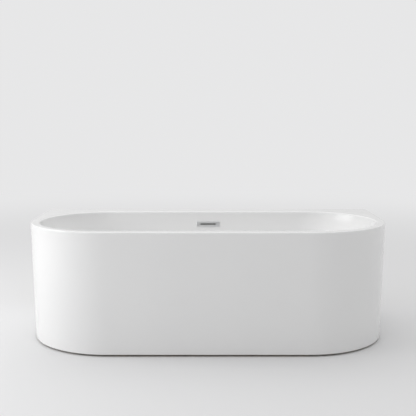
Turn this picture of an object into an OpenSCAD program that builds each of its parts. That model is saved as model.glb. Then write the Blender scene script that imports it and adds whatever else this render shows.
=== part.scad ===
// Freestanding bath with a D-shaped plan: flat against a wall at the back, round at the two front corners.
// A double-skinned acrylic shell stands on a welded steel frame with five levelling feet.
// X runs along the bath, -Y is the front, +Y the wall side, +Z up; the origin is on the floor, mid-plan.

/* [Bath] */
// Overall length
length = 1700; // [1400:10:2050]
// Overall width, front to wall
width = 800; // [660:10:960]
// Height of the rim above the floor
height = 560; // [460:10:680]
// Radius of the two front corners in plan
corner_r = 400; // [300:10:400]
// Radius of the two rear corners of the rim
rear_r = 14; // [8:1:20]
// How far the skirt leans in between the rim and the floor
taper = 12; // [0:1:20]
// Gap between the skirt and the floor
floor_gap = 9; // [6:1:14]

/* [Rim] */
// Width of the rim at the front, to the top of the basin wall
rim_front = 54; // [45:1:70]
// Width of the rim at the wall side
rim_back = 106; // [90:1:130]
// Width of the rim at the two ends
rim_end = 50; // [45:1:70]
// Radius of the rim's inner edge
rim_inner_r = 10; // [7:1:14]
// Radius of the rim's outer edge
rim_outer_r = 6; // [3:0.5:8]
// Depth of the turned-down lip round the rim
lip = 30; // [20:1:40]

/* [Basin] */
// Height of the basin floor above the room floor
floor_z = 160; // [155:1:200]
// Lean of the side walls, from rim to floor
side_lean = 90; // [60:1:110]
// Lean of the two end walls, which are backrests
end_lean = 225; // [150:5:260]
// Height of the sweep between the walls and the basin floor
sweep_h = 95; // [60:5:120]
// Length of that sweep on the basin floor, at the sides
sweep_side = 70; // [50:5:90]
// Length of that sweep on the basin floor, at the ends
sweep_end = 85; // [60:5:120]
// Thickness of the acrylic sheet
acrylic_t = 4; // [3:0.5:6]
// Thickness of the glass-fibre layer behind it
fibre_t = 4; // [2:0.5:6]
// Thickness of the board under the basin floor
board_t = 15; // [9:1:25]

/* [Frame] */
// Side of the square steel tube
rail_w = 30; // [25:1:40]
// Wall of the square steel tube
rail_t = 2; // [1.5:0.5:3]
// Distance from the bath's centre line to the two long cross rails
cross_x = 510; // [440:5:560]
// Distance from the bath's centre line to the two inner rails beside the drain
inner_x = 125; // [115:1:160]
// Gap between the ends of the cross rails and the outline of the bath
cross_gap = 100; // [80:5:140]
// Width of the flat steel stays
stay_w = 30; // [20:1:40]
// Thickness of the stays
stay_t = 4; // [3:0.5:6]
// Distance from the centre line to the two front stays
stay_x = 300; // [200:10:380]
// Distance behind the middle of the plan of the two end stays
stay_y = 150; // [60:10:200]

/* [Feet] */
// Distance of each outer foot from the end of its cross rail
foot_in = 32; // [28:1:60]
// Radius of a foot pad
pad_r = 25; // [20:1:32]
// Radius of the threaded stud
stud_r = 6; // [5:0.5:8]
// How far the threaded stud reaches up into the rail
stud_in = 14; // [8:1:18]
// Radial running clearance of studs, stems and bores
run_gap = 0.05; // [0.02:0.01:0.1]

/* [Drain] */
// Distance of the drain behind the middle of the basin floor
drain_back = 40; // [0:5:50]
// Radius of the hole in the basin floor
drain_hole_r = 26; // [25:0.5:28]
// Radius of the metal flange in the basin
flange_r = 35; // [32:0.5:38]
// Radius of the domed plug
plug_r = 31; // [28:0.5:34]
// Radius of the plug's stem
stem_r = 4; // [3:0.5:5]
// Outer radius of the outlet piece's inner end, which the trap's nut holds
waste_r = 20; // [16:0.5:21]
// Outer radius of the outlet piece's free end, which a drain socket takes
outlet_r = 25; // [22:0.5:27]
// Wall of the outlet piece
waste_t = 2.5; // [1.5:0.5:3]
// Gap between the end of the outlet piece and the wall
waste_gap = 15; // [5:1:60]

/* [Overflow] */
// Distance of the overflow slot below the rim
overflow_drop = 65; // [55:1:90]
// Length of the overflow plate
plate_l = 120; // [100:1:140]
// Height of the overflow plate
plate_h = 30; // [24:1:36]
// Length of the slot in the plate
slot_l = 80; // [60:1:90]
// Height of the slot in the plate
slot_h = 7; // [6:0.5:10]
// Outer radius of the overflow hose
hose_r = 16; // [14:0.5:18]
// Bend radius of the overflow hose
hose_bend = 100; // [80:5:120]

/* [Hidden] */

$fn = 96;
arc_steps = 12;
sweep_steps = 6;
edge_steps = 3;
cut = 1;

white = "whitesmoke";
resin = "wheat";
timber = "burlywood";
steel = "slategray";
zinc = "silver";
chrome = "lightgray";
plastic = "gainsboro";
black = "dimgray";

// outline of the bath
front_x = length / 2 - corner_r;
front_y = corner_r - width / 2;
lip_z = height - lip;
function lean_in(z) = taper * max(0, height - rim_outer_r - z) / height;

// basin: half length, half width and middle of its opening, where the walls start
open_x = length / 2 - rim_end;
open_y = (width - rim_front - rim_back) / 2;
mid_y = (rim_front - rim_back) / 2;
wall_z = height - rim_inner_r;
wall_h = wall_z - floor_z;
side_tilt = atan(side_lean / wall_h);
end_tilt = atan(end_lean / wall_h);
flat_x = open_x - end_lean - sweep_end;
flat_y = open_y - side_lean - sweep_side;
bond_gap = 0.1;
fit_gap = 0.1;
skin_t = acrylic_t + fibre_t;

// levels under the basin, from the top down
board_top = floor_z - skin_t;
rail_top = board_top - board_t;
rail_z = rail_top - rail_w;
weld_nut_h = 12;
weld_nut_z = rail_z - weld_nut_h;
nut_af = 19;
nut_gap = 0.5;
lock_nut_h = 8;

// plan of the frame
board_x = flat_x;
board_in = 5;
board_y = flat_y - board_in;
rail_y = board_y - rail_w / 2;
rail_front_y = mid_y - rail_y;
rail_rear_y = mid_y + rail_y;
cross_front_y = -width / 2 + cross_gap;
rear_reach = 30;
cross_rear_y = width / 2 - cross_gap + rear_reach;
cap_t = 3;
feet = [[-cross_x, cross_front_y + foot_in], [cross_x, cross_front_y + foot_in],
        [-cross_x, cross_rear_y - foot_in], [cross_x, cross_rear_y - foot_in], [0, rail_front_y]];

// foot: pad, boss and the collar of the stud that turns inside it
stud_top = rail_z + stud_in;
pad_t = 6;
pad_top = 18;
boss_r = 14;
foot_collar_r = 9;
foot_collar_h = 5;

// battens inside the foot of the skirt
batten_t = 20;
batten_h = 40;
batten_gap = 1.5;
batten_short = 10;
batten_z = floor_gap + 5;
batten_in = lean_in(batten_z) + skin_t + batten_gap;
batten_end_in = 30;
batten_front_y = -width / 2 + batten_in;
batten_end_x = length / 2 - batten_in;
screw_z = batten_z + batten_h / 2;
wood_screw_r = 2.4;
wood_screw_in = 14;
stay_up = 5;
stay_lap = 2;

// timber under the rim
rim_timber_h = 25;
rim_timber_z = height - acrylic_t - rim_timber_h;
rim_timber_gap = 12;
rim_timber_inset = 3;
rim_timber_y = width / 2 - acrylic_t - rim_timber_inset;
rim_batten_over = 150;

// drain, from the basin floor down
drain_y = mid_y + drain_back;
seal_t = 1.5;
flange_t = 2.5;
flange_z = floor_z + seal_t;
tail_r = 25;
tail_t = 3;
tail_l = 32;
tail_z = floor_z - tail_l;
washer_t = 3;
washer_r = 38;
body_z = board_top - washer_t;
body_r = 31;
body_drop = 66;
body_low_z = floor_z - body_drop;
spigot_r = 22;
spigot_t = 3;
spigot_l = 18;
port_drop = 45;
port_z = floor_z - port_drop;
port_r = 17;
port_t = 3;
port_l = 26;
bar_h = 6;
bar_w = 4;
cartridge_r = 8;
cartridge_h = 16;
stem_l = 48;
board_hole_r = 48;

// plug, closed
plug_gap = 0.3;
plug_h = 6;
plug_edge_h = 3;
plug_z = flange_z + flange_t + plug_gap;

// trap
trap_r = 42;
trap_t = 3;
trap_drop = 26;
trap_h = 48;
trap_base_h = 8;
trap_high = body_low_z - trap_drop;
trap_low = trap_high - trap_h;
trap_base_z = trap_low - trap_base_h;
collar_r = 26;
collar_h = 16;
trap_nut_r = 31;
waste_drop = 24;
waste_z = trap_high - waste_drop;
socket_t = 3;
socket_l = 28;
outlet_nut_r = 28;
outlet_nut_l = 20;
outlet_nut_over = 7;
outlet_nut_end = trap_r + socket_l + outlet_nut_over;
outlet_end = width / 2 - waste_gap - drain_y;
nut_ribs = 12;

// overflow, on the back wall of the basin
slot_z = height - overflow_drop;
slot_y = mid_y + open_y - (wall_z - slot_z) * tan(side_tilt);
plate_t = 3;
plate_edge_r = 3;
wall_slot_l = slot_l + 8;
wall_slot_h = 14;
gasket_t = 2;
box_l = plate_l - 6;
box_h = 36;
box_d = 26;
box_t = 3;
screw_x = plate_l / 2 - 9;
screw_r = 2.5;
spigot_up_r = hose_r - 3.5;
hose_t = 2.5;
hose_back = 34;
hose_drop = 48;
hose_clear = 4;
hose_nut_wall = 5;
spigot_in = 22;
hose_y = slot_y + hose_back;
hose_top_z = slot_z - hose_drop;
hose_end_y = drain_y + tail_r + port_l + hose_clear;
hose_nut_r = hose_r + hose_nut_wall;
hose_nut_l = 24;

// ---- shapes shared by several pieces ----

// one quarter of a ring, as points at one height
function quarter(cx, cy, r, a, z) =
    [for (i = [0:arc_steps]) [cx + r * cos(a + 90 * i / arc_steps), cy + r * sin(a + 90 * i / arc_steps), z]];

// ring on the basin wall: a stadium
function stadium(hx, hy, z) = concat(
    quarter(hx - hy, mid_y, hy, 0, z), quarter(hy - hx, mid_y, hy, 90, z),
    quarter(hy - hx, mid_y, hy, 180, z), quarter(hx - hy, mid_y, hy, 270, z));

// ring on the outline of the bath, moved in by d
function outline(d, z) = let (s = lean_in(z), x = length / 2 - s - rear_r, r = corner_r - s - d) concat(
    quarter(x, width / 2 - rear_r, rear_r - d, 0, z), quarter(-x, width / 2 - rear_r, rear_r - d, 90, z),
    quarter(-front_x, front_y, r, 180, z), quarter(front_x, front_y, r, 270, z));

function bend(a, b, c, t) = (1 - t) * (1 - t) * a + 2 * t * (1 - t) * b + t * t * c;

// basin wall from the floor up, as rings, o outside the face that holds the water
function wall_rings(o) =
    let (hx = open_x + o / cos(end_tilt), hy = open_y + o / cos(side_tilt), low = floor_z - o,
         corner_x = hx - (wall_z - low) * tan(end_tilt), corner_y = hy - (wall_z - low) * tan(side_tilt),
         start_x = corner_x + sweep_h * tan(end_tilt), start_y = corner_y + sweep_h * tan(side_tilt))
    concat([for (i = [sweep_steps:-1:0]) let (t = i / sweep_steps)
                stadium(bend(start_x, corner_x, flat_x, t), bend(start_y, corner_y, flat_y, t),
                        bend(low + sweep_h, low, low, t))],
           [stadium(hx, hy, wall_z)]);

function reversed(list) = [for (i = [len(list) - 1:-1:0]) list[i]];

// closed solid through a list of rings, with a flat cap at each end
module skin(rings) {
    n = len(rings[0]);
    points = [for (ring = rings) each ring];
    bands = [for (k = [0:len(rings) - 2], i = [0:n - 1]) let (j = (i + 1) % n, a = k * n, b = a + n)
                each [[a + i, b + i, b + j], [a + i, b + j, a + j]]];
    first = [for (i = [0:n - 1]) i];
    last = [for (i = [n - 1:-1:0]) (len(rings) - 1) * n + i];
    polyhedron(points, concat([first], bands, [last]));
}

// upright sheet that follows the outline, from d to d + t inside it and from z0 to z1
module outline_wall(d, t, z0, z1) {
    low = d + lean_in(z0);
    top = d + lean_in(z1);
    profile = [[low, z0], [low + t, z0], [top + t, z1], [top, z1]];
    translate([-front_x, 0, 0])
        rotate([90, 0, 90])
            linear_extrude(2 * front_x)
                polygon([for (p = profile) [-width / 2 + p[0], p[1]]]);
    for (side = [0, 1])
        mirror([side, 0, 0]) {
            translate([front_x, front_y, 0])
                rotate([0, 0, 270])
                    rotate_extrude(angle = 90)
                        polygon([for (p = profile) [corner_r - p[0], p[1]]]);
            translate([0, width / 2, 0])
                rotate([90, 0, 0])
                    linear_extrude(width / 2 - front_y)
                        polygon([for (p = profile) [length / 2 - p[0], p[1]]]);
        }
}

module box(low, high) {
    translate(low)
        cube(high - low);
}

module ring(r_in, r_out, z0, z1) {
    rotate_extrude()
        polygon([[r_in, z0], [r_out, z0], [r_out, z1], [r_in, z1]]);
}

module at_drain() {
    translate([0, drain_y, 0])
        children();
}

// at the middle of the slot, +Y square to the wall and away from the water, +Z up the wall
module at_overflow() {
    translate([0, slot_y, slot_z])
        rotate([-side_tilt, 0, 0])
            children();
}

// along +Y from the drain, at height z
module toward_wall(z) {
    translate([0, drain_y, z])
        rotate([-90, 0, 0])
            children();
}

module slot_hole(l, h, y0, y1) {
    box([-l / 2, y0, -h / 2], [l / 2, y1, h / 2]);
}

// screws of the overflow, square to the wall
module overflow_bores(r, y0, y1) {
    for (x = [-screw_x, screw_x])
        translate([x, y0, 0])
            rotate([-90, 0, 0])
                cylinder(r = r, h = y1 - y0, $fn = 32);
}

module basin_holes() {
    at_drain()
        translate([0, 0, board_top - cut])
            cylinder(r = drain_hole_r, h = skin_t + 2 * cut);
    at_overflow() {
        slot_hole(wall_slot_l, wall_slot_h, -cut, skin_t + cut);
        overflow_bores(screw_r + 0.5, -cut, skin_t + cut);
    }
}

module hex_nut(af, bore, z0, z1) {
    difference() {
        translate([0, 0, z0])
            cylinder(r = af / 2 / cos(30), h = z1 - z0, $fn = 6);
        translate([0, 0, z0 - cut])
            cylinder(r = bore, h = z1 - z0 + 2 * cut);
    }
}

// plastic nut with finger ribs, stepped inside from bore_low to bore_high at step
module ribbed_nut(r, bore_low, bore_high, step, h) {
    rib_r = 2;
    difference() {
        union() {
            cylinder(r = r - 1, h = h);
            for (i = [0:nut_ribs - 1])
                rotate([0, 0, 360 * i / nut_ribs])
                    translate([r - rib_r, 0, 0])
                        cylinder(r = rib_r, h = h, $fn = 16);
        }
        translate([0, 0, -cut])
            cylinder(r = bore_low, h = step + cut);
        translate([0, 0, step - 0.01])
            cylinder(r = bore_high, h = h - step + cut);
    }
}

// ---- basin ----

// thermoformed acrylic sheet: basin, flat rim and turned-down lip in one piece
module basin_shell() {
    inner_edge = [for (i = [1:edge_steps]) let (a = 90 * i / edge_steps, d = rim_inner_r * (1 - cos(a)))
        stadium(open_x + d, open_y + d, wall_z + rim_inner_r * sin(a))];
    outer_edge = [for (i = [0:edge_steps]) let (a = 90 * i / edge_steps)
        outline(rim_outer_r * (1 - sin(a)), height - rim_outer_r * (1 - cos(a)))];
    underside = [outline(0, lip_z), outline(acrylic_t, lip_z), outline(acrylic_t, height - acrylic_t),
                 stadium(open_x + rim_inner_r, open_y + rim_inner_r, height - acrylic_t)];
    color(white)
        difference() {
            skin(concat(wall_rings(0), inner_edge, outer_edge, underside, reversed(wall_rings(acrylic_t))));
            basin_holes();
        }
}

// glass fibre and resin sprayed on the back of the basin
module basin_backing() {
    color(resin)
        difference() {
            skin(concat(wall_rings(acrylic_t + bond_gap), reversed(wall_rings(skin_t))));
            basin_holes();
        }
}

// board bonded under the basin floor, with a hole for the drain
module base_board() {
    color(timber)
        difference() {
            box([-board_x, mid_y - board_y, rail_top], [board_x, mid_y + board_y, board_top]);
            at_drain()
                translate([0, 0, rail_top - cut])
                    cylinder(r = board_hole_r, h = board_t + 2 * cut);
        }
}

// timber under the wide rear rim
module rim_batten() {
    color(timber)
        box([open_y - open_x - rim_batten_over, mid_y + open_y + skin_t + rim_timber_gap, rim_timber_z],
            [open_x - open_y + rim_batten_over, rim_timber_y, height - acrylic_t]);
}

// timber block in a rear corner of the rim
module rim_block(side) {
    block_x = 112;
    block_y = 92;
    side_gap = 6;
    low_x = length / 2 - acrylic_t - side_gap - block_x;
    color(timber)
        mirror([side, 0, 0])
            box([low_x, rim_timber_y - block_y, rim_timber_z],
                [low_x + block_x, rim_timber_y, height - acrylic_t]);
}

// ---- skirt ----

// acrylic apron round the front and ends, with a short return at the wall
module skirt_shell() {
    return_w = 34;
    edge_x = length / 2 - return_w;
    color(white) {
        outline_wall(0, acrylic_t, floor_gap, lip_z);
        for (side = [0, 1])
            mirror([side, 0, 0])
                translate([0, width / 2, 0])
                    rotate([90, 0, 0])
                        linear_extrude(acrylic_t)
                            polygon([[length / 2 - lean_in(floor_gap), floor_gap],
                                     [length / 2 - lean_in(lip_z), lip_z],
                                     [edge_x, lip_z], [edge_x, floor_gap]]);
    }
}

// glass-fibre layer inside the apron
module skirt_backing() {
    edge_in = 6;
    color(resin)
        difference() {
            outline_wall(acrylic_t + bond_gap, fibre_t - bond_gap, floor_gap + edge_in, lip_z);
            box([-length, width / 2 - acrylic_t, 0], [length, width, height]);
        }
}

// pilot hole for a wood screw, into the batten along -X from x = 0
module pilot_hole() {
    translate([-wood_screw_in, 0, screw_z])
        rotate([0, 90, 0])
            cylinder(r = wood_screw_r, h = wood_screw_in + cut, $fn = 32);
}

module skirt_batten_front() {
    color(timber)
        difference() {
            box([-front_x + batten_short, batten_front_y, batten_z],
                [front_x - batten_short, batten_front_y + batten_t, batten_z + batten_h]);
            for (x = [-stay_x, stay_x])
                translate([x, batten_front_y + batten_t, 0])
                    rotate([0, 0, 90])
                        pilot_hole();
        }
}

module skirt_batten_end(side) {
    color(timber)
        mirror([side, 0, 0])
            difference() {
                box([batten_end_x - batten_t, front_y, batten_z],
                    [batten_end_x, width / 2 - batten_end_in, batten_z + batten_h]);
                translate([batten_end_x - batten_t, stay_y, 0])
                    rotate([0, 0, 180])
                        pilot_hole();
            }
}

// ---- frame ----

// square tube from low to high, open at both ends along axis 0 (X) or 1 (Y)
module square_tube(low, high, axis) {
    open = axis == 0 ? [cut, -rail_t, -rail_t] : [-rail_t, cut, -rail_t];
    difference() {
        box(low, high);
        box(low - open, high + open);
    }
}

// hole for a stud in the underside of a rail
module stud_hole(spot) {
    translate([spot[0], spot[1], rail_z - cut])
        cylinder(r = stud_r + nut_gap, h = rail_t + 2 * cut);
}

module weld_nut(spot) {
    translate([spot[0], spot[1], 0])
        hex_nut(nut_af, stud_r + run_gap, weld_nut_z, rail_z);
}

module rail_front() {
    color(steel) {
        difference() {
            square_tube([-cross_x + rail_w / 2, rail_front_y - rail_w / 2, rail_z],
                        [cross_x - rail_w / 2, rail_front_y + rail_w / 2, rail_top], 0);
            stud_hole(feet[4]);
        }
        weld_nut(feet[4]);
    }
}

module rail_rear(side) {
    color(steel)
        mirror([side, 0, 0])
            square_tube([inner_x - rail_w / 2, rail_rear_y - rail_w / 2, rail_z],
                        [cross_x - rail_w / 2, rail_rear_y + rail_w / 2, rail_top], 0);
}

module cross_rail(side) {
    x = side == 0 ? cross_x : -cross_x;
    spots = side == 0 ? [feet[1], feet[3]] : [feet[0], feet[2]];
    color(steel) {
        difference() {
            square_tube([x - rail_w / 2, cross_front_y, rail_z], [x + rail_w / 2, cross_rear_y, rail_top], 1);
            for (spot = spots)
                stud_hole(spot);
        }
        for (spot = spots)
            weld_nut(spot);
    }
}

module inner_rail(side) {
    color(steel)
        mirror([side, 0, 0])
            square_tube([inner_x - rail_w / 2, rail_front_y + rail_w / 2, rail_z],
                        [inner_x + rail_w / 2, rail_rear_y - rail_w / 2, rail_top], 1);
}

// four plastic caps in the ends of the cross rails
module rail_end_caps() {
    plug_in = 12;
    inside = rail_w / 2 - rail_t;
    color(black)
        for (x = [-cross_x, cross_x], end = [0, 1])
            translate([x, end == 0 ? cross_front_y : cross_rear_y, rail_z + rail_w / 2])
                mirror([0, 1 - end, 0]) {
                    box([-rail_w / 2, 0, -rail_w / 2], [rail_w / 2, cap_t, rail_w / 2]);
                    box([-inside, -plug_in, -inside], [inside, 0, inside]);
                }
}

// flat bar along +X from under a rail to a batten, turned down at its end
module stay_bar(x0, x1) {
    difference() {
        union() {
            box([x0, -stay_w / 2, rail_z - stay_t], [x1, stay_w / 2, rail_z]);
            box([x1 - stay_t, -stay_w / 2, batten_z + stay_up], [x1, stay_w / 2, rail_z]);
        }
        translate([x1 - stay_t - cut, 0, screw_z])
            rotate([0, 90, 0])
                cylinder(r = wood_screw_r + 0.4, h = stay_t + 2 * cut, $fn = 32);
    }
}

module stay_front(side) {
    color(zinc)
        translate([side == 0 ? stay_x : -stay_x, 0, 0])
            rotate([0, 0, -90])
                stay_bar(-rail_front_y - rail_w / 2 + stay_lap, -batten_front_y - batten_t);
}

module stay_end(side) {
    color(zinc)
        mirror([side, 0, 0])
            translate([0, stay_y, 0])
                stay_bar(cross_x - rail_w / 2 + stay_lap, batten_end_x - batten_t);
}

// wood screw along +X, its head against x = 0
module stay_screw() {
    rotate([0, 90, 0]) {
        cylinder(r = wood_screw_r, h = stay_t + wood_screw_in, $fn = 32);
        translate([0, 0, -3])
            cylinder(r1 = 3.5, r2 = 5.5, h = 3, $fn = 32);
    }
}

module stay_screws() {
    color(zinc) {
        for (x = [-stay_x, stay_x])
            translate([x, batten_front_y + batten_t + stay_t, screw_z])
                rotate([0, 0, -90])
                    stay_screw();
        for (side = [0, 1])
            mirror([side, 0, 0])
                translate([batten_end_x - batten_t - stay_t, stay_y, screw_z])
                    stay_screw();
    }
}

// ---- levelling feet ----

// moulded pad, closed round the collar of its stud
module foot_pad(k) {
    color(black)
        translate([feet[k - 1][0], feet[k - 1][1], 0])
            rotate_extrude()
                polygon([[0, 0], [pad_r - 1, 0], [pad_r, 1], [pad_r, 4], [boss_r, 9], [boss_r, pad_top],
                         [stud_r + run_gap, pad_top], [stud_r + run_gap, pad_t + foot_collar_h + run_gap],
                         [foot_collar_r + run_gap, pad_t + foot_collar_h + run_gap],
                         [foot_collar_r + run_gap, pad_t], [0, pad_t]]);
}

// threaded stud with a collar held in the pad and a hexagon for a spanner
module foot_stud(k) {
    hex_z = pad_top + 3;
    hex_h = 7;
    color(zinc)
        translate([feet[k - 1][0], feet[k - 1][1], 0]) {
            rotate_extrude()
                polygon([[0, pad_t], [foot_collar_r, pad_t], [foot_collar_r, pad_t + foot_collar_h],
                         [stud_r, pad_t + foot_collar_h], [stud_r, stud_top - 1], [stud_r - 1, stud_top],
                         [0, stud_top]]);
            translate([0, 0, hex_z])
                cylinder(r = nut_af / 2 / cos(30), h = hex_h, $fn = 6);
        }
}

module lock_nut(k) {
    color(zinc)
        translate([feet[k - 1][0], feet[k - 1][1], 0])
            hex_nut(nut_af, stud_r + run_gap, weld_nut_z - lock_nut_h, weld_nut_z);
}

// ---- drain and plug ----

// chromed flange and its threaded tail, with crossed bars that guide the plug's stem
module drain_flange() {
    seat_r = tail_r - tail_t;
    color(chrome)
        at_drain() {
            rotate_extrude()
                polygon([[seat_r, tail_z], [tail_r, tail_z], [tail_r, flange_z], [flange_r, flange_z],
                         [flange_r - 1.5, flange_z + flange_t], [tail_r + 1, flange_z + flange_t],
                         [seat_r, flange_z - 1]]);
            difference() {
                union() {
                    box([-seat_r - 1, -bar_w / 2, tail_z], [seat_r + 1, bar_w / 2, tail_z + bar_h]);
                    box([-bar_w / 2, -seat_r - 1, tail_z], [bar_w / 2, seat_r + 1, tail_z + bar_h]);
                    translate([0, 0, tail_z])
                        cylinder(r = cartridge_r, h = bar_h);
                }
                translate([0, 0, tail_z - cut])
                    cylinder(r = stem_r + run_gap, h = bar_h + 2 * cut);
            }
        }
}

module drain_seal() {
    color(black)
        at_drain()
            ring(tail_r + 0.2, flange_r - 1, floor_z, flange_z);
}

module drain_washer() {
    color(black)
        at_drain()
            ring(tail_r + 0.2, washer_r, body_z, board_top);
}

// moulded drain body under the basin, with a port for the overflow hose
module drain_body() {
    low = body_low_z - spigot_l;
    bore = spigot_r - spigot_t;
    flange = body_z - 4;
    shoulder_h = 6;
    step_h = 2;
    seat_over = 6;
    seat = tail_r + run_gap;
    color(plastic)
        difference() {
            union() {
                at_drain()
                    rotate_extrude()
                        polygon([[0, low], [spigot_r, low], [spigot_r, body_low_z],
                                 [body_r, body_low_z + shoulder_h], [body_r, flange],
                                 [washer_r, flange], [washer_r, body_z], [0, body_z]]);
                toward_wall(port_z)
                    cylinder(r = port_r, h = tail_r + port_l);
            }
            at_drain()
                rotate_extrude()
                    polygon([[0, low - cut], [bore, low - cut], [bore, body_low_z + step_h],
                             [seat, tail_z - seat_over], [seat, body_z + cut], [0, body_z + cut]]);
            toward_wall(port_z)
                cylinder(r = port_r - port_t, h = tail_r + port_l + cut);
        }
}

// housing of the push-to-latch mechanism
module plug_cartridge() {
    color(black)
        at_drain()
            ring(stem_r + run_gap, cartridge_r - 0.5, tail_z + bar_h, tail_z + bar_h + cartridge_h);
}

module plug_cap() {
    crown_in = 8;
    edge_z = plug_z + plug_edge_h;
    color(chrome)
        at_drain()
            rotate_extrude()
                polygon([[0, plug_z], [plug_r - 1, plug_z], [plug_r, plug_z + 1], [plug_r, edge_z],
                         [plug_r - 2, edge_z + 1.5], [plug_r - crown_in, plug_z + plug_h - 0.6],
                         [0, plug_z + plug_h]]);
}

module plug_seal() {
    color(black)
        at_drain()
            ring(stem_r + 2, tail_r - tail_t - 1, plug_z - 3, plug_z);
}

module plug_stem() {
    color(zinc)
        at_drain()
            translate([0, 0, plug_z - stem_l])
                cylinder(r = stem_r, h = stem_l);
}

// ---- trap and waste pipe ----

module trap_nut() {
    nut_h = 20;
    step = 12;
    color(plastic)
        at_drain()
            translate([0, 0, trap_high + 4])
                ribbed_nut(trap_nut_r, collar_r + fit_gap, spigot_r + fit_gap, step, nut_h);
}

// shallow bath trap: cup, inlet collar, dip tube and outlet socket
module trap_body() {
    dip_t = 2;
    dip_z = waste_z - 10;
    top = trap_high + collar_h;
    bore = spigot_r - spigot_t;
    seat = spigot_r + fit_gap;
    cup = trap_r - trap_t;
    color(plastic)
        difference() {
            union() {
                at_drain()
                    rotate_extrude()
                        polygon([[0, trap_low], [trap_r, trap_low], [trap_r, trap_high - 4],
                                 [trap_r - 4, trap_high], [collar_r, trap_high], [collar_r, top], [0, top]]);
                toward_wall(waste_z)
                    cylinder(r = waste_r + socket_t + fit_gap, h = trap_r + socket_l);
            }
            at_drain()
                difference() {
                    rotate_extrude()
                        polygon([[0, trap_low - cut], [cup, trap_low - cut], [cup, trap_high - 6],
                                 [bore, trap_high - 4], [bore, trap_high], [seat, trap_high],
                                 [seat, top + cut], [0, top + cut]]);
                    ring(bore - 0.5, bore + dip_t, dip_z, trap_high - 3);
                }
            difference() {
                toward_wall(waste_z)
                    cylinder(r = waste_r + fit_gap, h = trap_r + socket_l + cut);
                at_drain()
                    translate([0, 0, trap_low])
                        cylinder(r = cup - 1, h = trap_high);
            }
        }
}

module trap_base() {
    color(plastic)
        at_drain() {
            translate([0, 0, trap_base_z])
                cylinder(r = trap_r, h = trap_low - trap_base_z);
            ring(trap_r - trap_t - 5, trap_r - trap_t - fit_gap, trap_low, trap_low + 3);
        }
}

module outlet_nut() {
    step = outlet_nut_l - 6;
    socket_bore = waste_r + socket_t + 2 * fit_gap;
    color(plastic)
        toward_wall(waste_z)
            translate([0, 0, outlet_nut_end - outlet_nut_l])
                ribbed_nut(outlet_nut_r, socket_bore, waste_r + fit_gap, step, outlet_nut_l);
}

// moulded outlet piece: a narrow end in the trap's socket, widening outside the nut to the drain pipe's size
module outlet_pipe() {
    start = trap_r + 4;
    step = outlet_nut_end + 4;
    wide = step + 6;
    color(plastic)
        toward_wall(waste_z)
            rotate_extrude()
                polygon([[waste_r - waste_t, start], [waste_r, start], [waste_r, step], [outlet_r, wide],
                         [outlet_r, outlet_end], [outlet_r - waste_t, outlet_end], [outlet_r - waste_t, wide],
                         [waste_r - waste_t, step]]);
}

// ---- overflow ----

// slotted plate on the basin wall
module overflow_plate() {
    corner_x = plate_l / 2 - plate_edge_r;
    corner_z = plate_h / 2 - plate_edge_r;
    color(chrome)
        at_overflow()
            difference() {
                rotate([90, 0, 0])
                    linear_extrude(plate_t) {
                        square([plate_l - 2 * plate_edge_r, plate_h], center = true);
                        square([plate_l, plate_h - 2 * plate_edge_r], center = true);
                        for (x = [-corner_x, corner_x], z = [-corner_z, corner_z])
                            translate([x, z])
                                circle(r = plate_edge_r, $fn = 32);
                    }
                slot_hole(slot_l, slot_h, -plate_t - cut, cut);
                overflow_bores(screw_r - 0.4, -1, cut);
            }
}

// foam gasket between the glass fibre and the overflow box
module overflow_gasket() {
    color(black)
        at_overflow()
            difference() {
                slot_hole(box_l, box_h, skin_t, skin_t + gasket_t);
                slot_hole(wall_slot_l, wall_slot_h, 0, skin_t + gasket_t + cut);
                overflow_bores(screw_r + 0.5, 0, skin_t + gasket_t + cut);
            }
}

// moulded box behind the wall, with a spigot down to the hose
module overflow_body() {
    back = skin_t + gasket_t;
    collar_drop = 34;
    collar_l = 12;
    collar_wall = 3;
    spigot_wall = 2;
    screw_fit = 0.2;
    color(plastic)
        difference() {
            union() {
                at_overflow()
                    slot_hole(box_l, box_h, back, back + box_d);
                translate([0, hose_y, hose_top_z - spigot_in])
                    cylinder(r = spigot_up_r, h = slot_z - hose_top_z);
                translate([0, hose_y, slot_z - collar_drop])
                    cylinder(r = spigot_up_r + collar_wall, h = collar_l);
            }
            at_overflow() {
                slot_hole(wall_slot_l, box_h - 2 * box_t, back - cut, back + box_d - box_t);
                overflow_bores(screw_r + screw_fit, back - cut, back + box_d + cut);
            }
            translate([0, hose_y, hose_top_z - spigot_in - cut])
                cylinder(r = spigot_up_r - spigot_wall, h = slot_z - hose_top_z);
        }
}

module overflow_screws() {
    back = skin_t + gasket_t + box_d;
    color(zinc)
        at_overflow() {
            overflow_bores(screw_r - 0.4, -0.9, back);
            overflow_bores(screw_r + 2, back, back + 3);
        }
}

// corrugated hose from the overflow box down to the drain body
module overflow_hose() {
    color(plastic)
        difference() {
            hose_run(hose_r, 0);
            hose_run(hose_r - hose_t, cut);
        }
}

// solid along the route of the hose: down, round a quarter bend and forward
module hose_run(r, extra) {
    bend_z = port_z + hose_bend;
    bend_y = hose_y - hose_bend;
    translate([0, hose_y, bend_z])
        cylinder(r = r, h = hose_top_z - bend_z + extra);
    translate([0, bend_y, bend_z])
        rotate([0, 90, 0])
            rotate_extrude(angle = 90)
                translate([hose_bend, 0])
                    circle(r = r);
    translate([0, hose_end_y - extra, port_z])
        rotate([-90, 0, 0])
            cylinder(r = r, h = bend_y - hose_end_y + extra);
}

module hose_nut_top() {
    color(plastic)
        translate([0, hose_y, hose_top_z - hose_nut_l + 8])
            ribbed_nut(hose_nut_r, hose_r + fit_gap, hose_r + fit_gap, hose_nut_l - 4, hose_nut_l);
}

module hose_nut_bottom() {
    color(plastic)
        toward_wall(port_z)
            translate([0, 0, tail_r + port_l - 10])
                ribbed_nut(hose_nut_r, port_r + fit_gap, hose_r + fit_gap, 12, hose_nut_l);
}

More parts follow.
